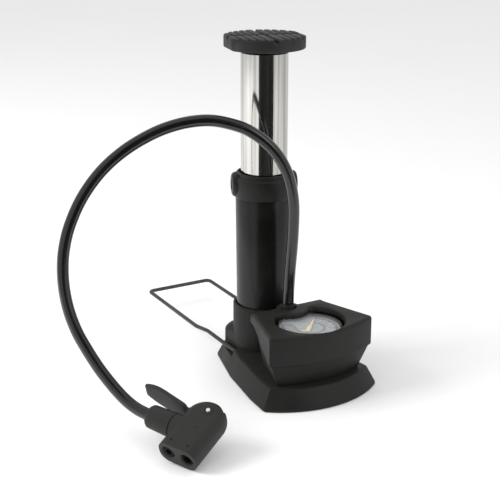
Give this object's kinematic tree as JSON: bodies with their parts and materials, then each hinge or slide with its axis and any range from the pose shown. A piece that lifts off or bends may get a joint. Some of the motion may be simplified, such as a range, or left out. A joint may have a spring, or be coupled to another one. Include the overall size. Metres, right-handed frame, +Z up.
{
  "type": "floor bike pump",
  "caption": "Small upright foot pump for bicycle tyres: chromed cylinder in a black barrel, flared base with dial gauge and wire bail, round pedal, and a looped hose with a valve head.",
  "frame": {"origin": "where the barrel's axis meets the floor, at the underside of the base plate", "axes": "+Z up along the barrel's axis; +X towards the gauge and away from the wire bail; +Y so that the valve head lies on the -Y side"},
  "size_m": [0.2436, 0.1882, 0.2175],
  "materials": {
    "black_plastic": "fine moulded grain",
    "barrel_black": "satin black",
    "black_rubber": "matte, worn on top",
    "hose_rubber": "smooth and glossy",
    "chrome": "polished",
    "steel": "zinc plated",
    "dark_steel": "dark coated steel",
    "brass": "turned",
    "nylon": "natural nylon",
    "dial_face": "matte pale print",
    "pointer_paint": "cream paint",
    "clear_lens": "clear polished"
  },
  "bodies": {
    "base": {"base_housing": "black_plastic", "gauge_cover": "black_plastic", "barrel_collar": "black_plastic", "hose_ferrule": "black_plastic", "valve_head_body": "black_plastic", "head_neck": "black_plastic", "barrel": "barrel_black", "wiper_ring": "black_rubber", "piston_cup": "black_rubber", "wide_gasket": "black_rubber", "narrow_gasket": "black_rubber", "hose": "hose_rubber", "base_screw_1": "steel", "base_screw_2": "steel", "base_screw_3": "steel", "base_screw_4": "steel", "piston_rod": "steel", "piston_nut": "steel", "return_spring": "steel", "check_spring": "steel", "gauge_case": "steel", "lever_pin": "steel", "base_plate": "dark_steel", "collar_screw_1": "dark_steel", "collar_screw_2": "dark_steel", "hose_barb": "brass", "gauge_stem": "brass", "bourdon_tube": "brass", "movement_bridge": "brass", "head_barb": "brass", "guide_bush": "nylon", "piston": "nylon", "air_manifold": "nylon", "gauge_dial": "dial_face", "gauge_lens": "clear_lens"},
    "plunger": {"chrome_tube": "chrome", "tube_bush": "nylon", "cylinder_head": "nylon", "head_o_ring": "black_rubber", "pedal_screw": "steel"},
    "pedal": {"pedal_core": "black_plastic", "pedal_tread": "black_rubber"},
    "bail": {"foot_bail": "dark_steel"},
    "sector": {"gauge_sector": "brass"},
    "pointer": {"gauge_pointer": "pointer_paint"},
    "ball": {"check_ball": "steel"},
    "lever": {"head_lever": "black_plastic"},
    "presser": {"gasket_presser": "nylon"}
  },
  "joints": [
    {"name": "plunger_slide", "type": "slide", "parent": "base", "child": "plunger", "axis": [0, 0, -1], "range_m": [0, 0.078], "stiffness_N_per_m": 300, "springref_m": -0.02, "deforming": ["return_spring"]},
    {"name": "pedal_turn", "type": "hinge", "parent": "plunger", "child": "pedal", "pos_m": [0, 0, 0.2092], "axis": [0, 0, 1], "continuous": true},
    {"name": "bail_fold", "type": "hinge", "parent": "base", "child": "bail", "pos_m": [0.0015, 0, 0.0105], "axis": [0, 1, 0], "range_deg": [0, 74]},
    {"name": "head_lever", "type": "hinge", "parent": "base", "child": "lever", "pos_m": [0.09528, -0.09255, 0.0192], "axis": [-0.2556, 0.2877, -0.923], "range_deg": [0, 90]},
    {"name": "gasket_press", "type": "slide", "parent": "base", "child": "presser", "axis": [0.3905, -0.8426, -0.3708], "range_m": [0, 0.0014]},
    {"name": "gauge_sector", "type": "hinge", "parent": "base", "child": "sector", "pos_m": [0.0474, 0, 0.0352], "axis": [0, 0, 1], "range_deg": [0, 45], "stiffness_Nm_per_rad": 0.0005, "springref_deg": -11.46},
    {"name": "gauge_pointer", "type": "hinge", "parent": "base", "child": "pointer", "pos_m": [0.056, 0, 0.0352], "axis": [0, 0, 1], "range_deg": [-270, 0]},
    {"name": "check_ball_lift", "type": "slide", "parent": "base", "child": "ball", "axis": [0, 0, -1], "range_m": [0, 0.0015], "stiffness_N_per_m": 5, "springref_m": -0.002, "deforming": ["check_spring"]}
  ],
  "couplings": [
    {"joint": "gasket_press", "follows": "head_lever", "m_per_rad": 0.000891},
    {"joint": "gauge_pointer", "follows": "gauge_sector", "ratio": -6}
  ]
}
